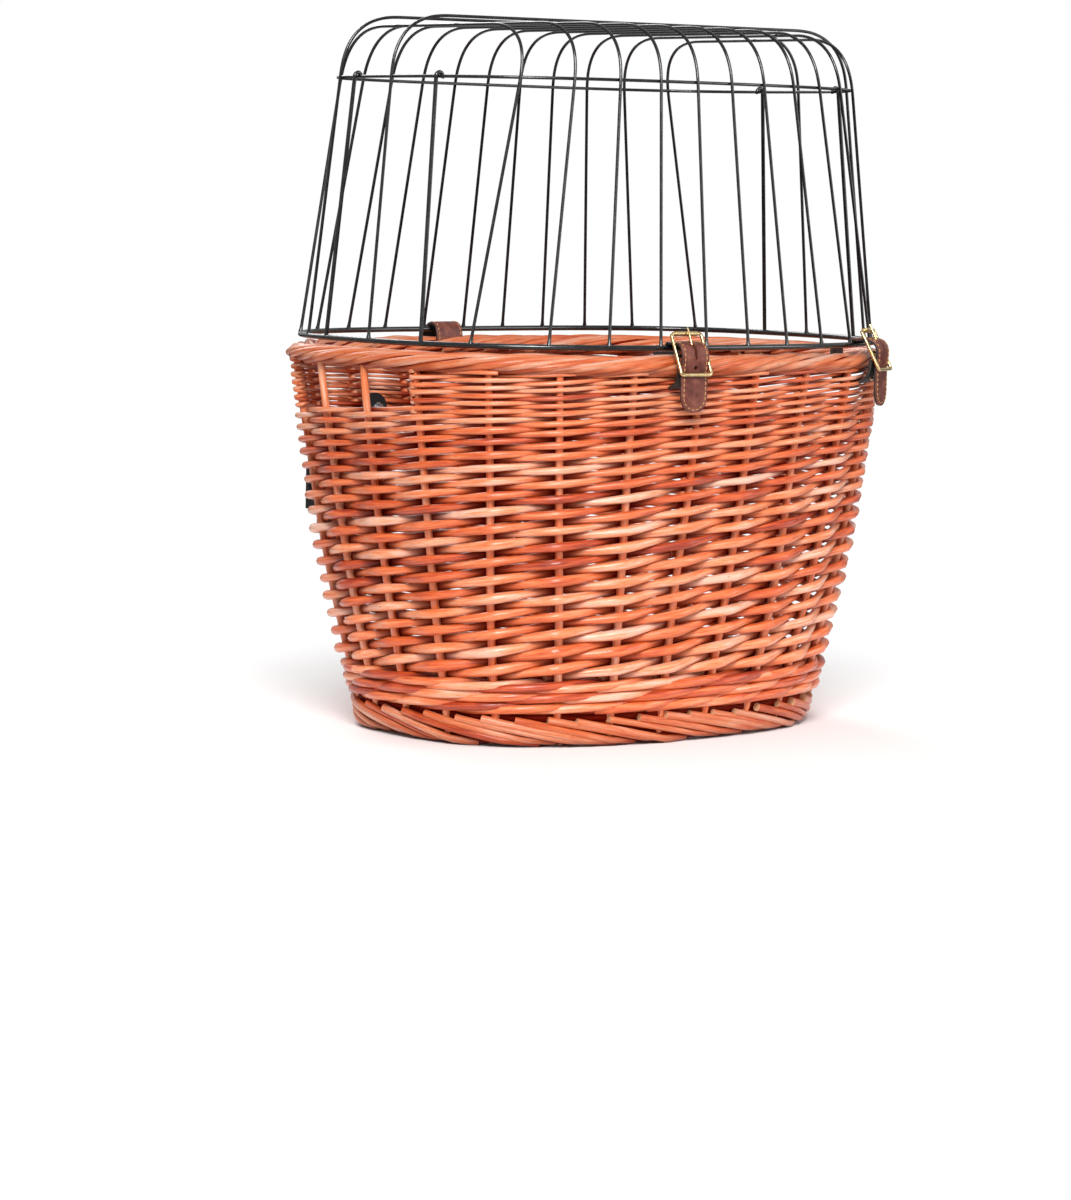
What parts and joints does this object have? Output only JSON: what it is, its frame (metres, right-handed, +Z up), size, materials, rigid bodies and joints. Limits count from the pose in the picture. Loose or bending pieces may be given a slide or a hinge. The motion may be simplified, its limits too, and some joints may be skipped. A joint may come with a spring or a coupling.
{
  "type": "handlebar basket",
  "caption": "D-shaped woven wicker pet basket with a hinged wire cage lid, leather buckle straps and a clamp-on handlebar bracket.",
  "frame": {"origin": "centre of the basket underside, on the plane it rests on", "axes": "+Z up through the cage top; -Y the rounded front with the buckles; +Y the flat back with the handlebar bracket; -X the rider's right"},
  "size_m": [0.44, 0.3782, 0.4999],
  "materials": {
    "wicker": "stained peeled willow, satin",
    "stake": "stained peeled willow, satin",
    "black_wire": "gloss black coating",
    "brown_leather": "waxed brown leather with tan stitching",
    "dark_leather": "dark flesh-side leather",
    "brass": "polished brass plate",
    "black_steel": "satin black powder coat",
    "rubber": "matt",
    "zinc_steel": "zinc plated"
  },
  "bodies": {
    "basket": {"wicker_wall": "wicker", "wicker_base": "wicker", "rim_border": "wicker", "foot_border": "wicker", "hand_stake_right_1": "stake", "hand_stake_right_2": "stake", "hand_stake_left_1": "stake", "hand_stake_left_2": "stake", "hinge_strap": "brown_leather", "anchor_strap_right": "dark_leather", "anchor_strap_left": "dark_leather", "anchor_rivet_right": "brass", "anchor_rivet_left": "brass", "bracket_frame": "black_steel", "clamp_cap_right": "black_steel", "clamp_cap_left": "black_steel", "clamp_liner_right": "rubber", "clamp_liner_left": "rubber", "clamp_bolt_upper_right": "zinc_steel", "clamp_bolt_upper_left": "zinc_steel", "clamp_bolt_lower_right": "zinc_steel", "clamp_bolt_lower_left": "zinc_steel", "wall_bolt_right": "zinc_steel", "wall_bolt_left": "zinc_steel", "wall_nut_right": "zinc_steel", "wall_nut_left": "zinc_steel", "inner_plate_right": "black_steel", "inner_plate_left": "black_steel"},
    "cage": {"cage_base_ring": "black_wire", "cage_upper_ring": "black_wire", "cross_hoop_01": "black_wire", "cross_hoop_02": "black_wire", "cross_hoop_03": "black_wire", "cross_hoop_04": "black_wire", "cross_hoop_05": "black_wire", "cross_hoop_06": "black_wire", "cross_hoop_07": "black_wire", "cross_hoop_08": "black_wire", "cross_hoop_09": "black_wire", "cross_hoop_10": "black_wire", "cross_hoop_11": "black_wire", "long_hoop_front": "black_wire", "long_hoop_back": "black_wire", "corner_wire_front_right": "black_wire", "corner_wire_front_left": "black_wire", "corner_wire_back_right": "black_wire", "corner_wire_back_left": "black_wire"},
    "strap_right": {"strap_tail_right": "brown_leather", "buckle_frame_right": "brass"},
    "prong_right": {"buckle_prong_right": "brass"},
    "strap_left": {"strap_tail_left": "brown_leather", "buckle_frame_left": "brass"},
    "prong_left": {"buckle_prong_left": "brass"}
  },
  "joints": [
    {"name": "cage_hinge", "type": "hinge", "parent": "basket", "child": "cage", "pos_m": [-0.01875, 0.15568, 0.2765], "axis": [-1, 0, 0], "range_deg": [0, 105]},
    {"name": "strap_swing_right", "type": "hinge", "parent": "cage", "child": "strap_right", "pos_m": [-0.0594, -0.15247, 0.2765], "axis": [-0.9914, 0.1311, 0], "range_deg": [0, 65]},
    {"name": "prong_lift_right", "type": "hinge", "parent": "strap_right", "child": "prong_right", "pos_m": [-0.06124, -0.16635, 0.2715], "axis": [0.9914, -0.1311, 0], "range_deg": [0, 60]},
    {"name": "strap_swing_left", "type": "hinge", "parent": "cage", "child": "strap_left", "pos_m": [0.127, -0.13391, 0.2765], "axis": [-0.9086, -0.4176, 0], "range_deg": [0, 65]},
    {"name": "prong_lift_left", "type": "hinge", "parent": "strap_left", "child": "prong_left", "pos_m": [0.13285, -0.14663, 0.2715], "axis": [0.9086, 0.4176, 0], "range_deg": [0, 60]}
  ]
}
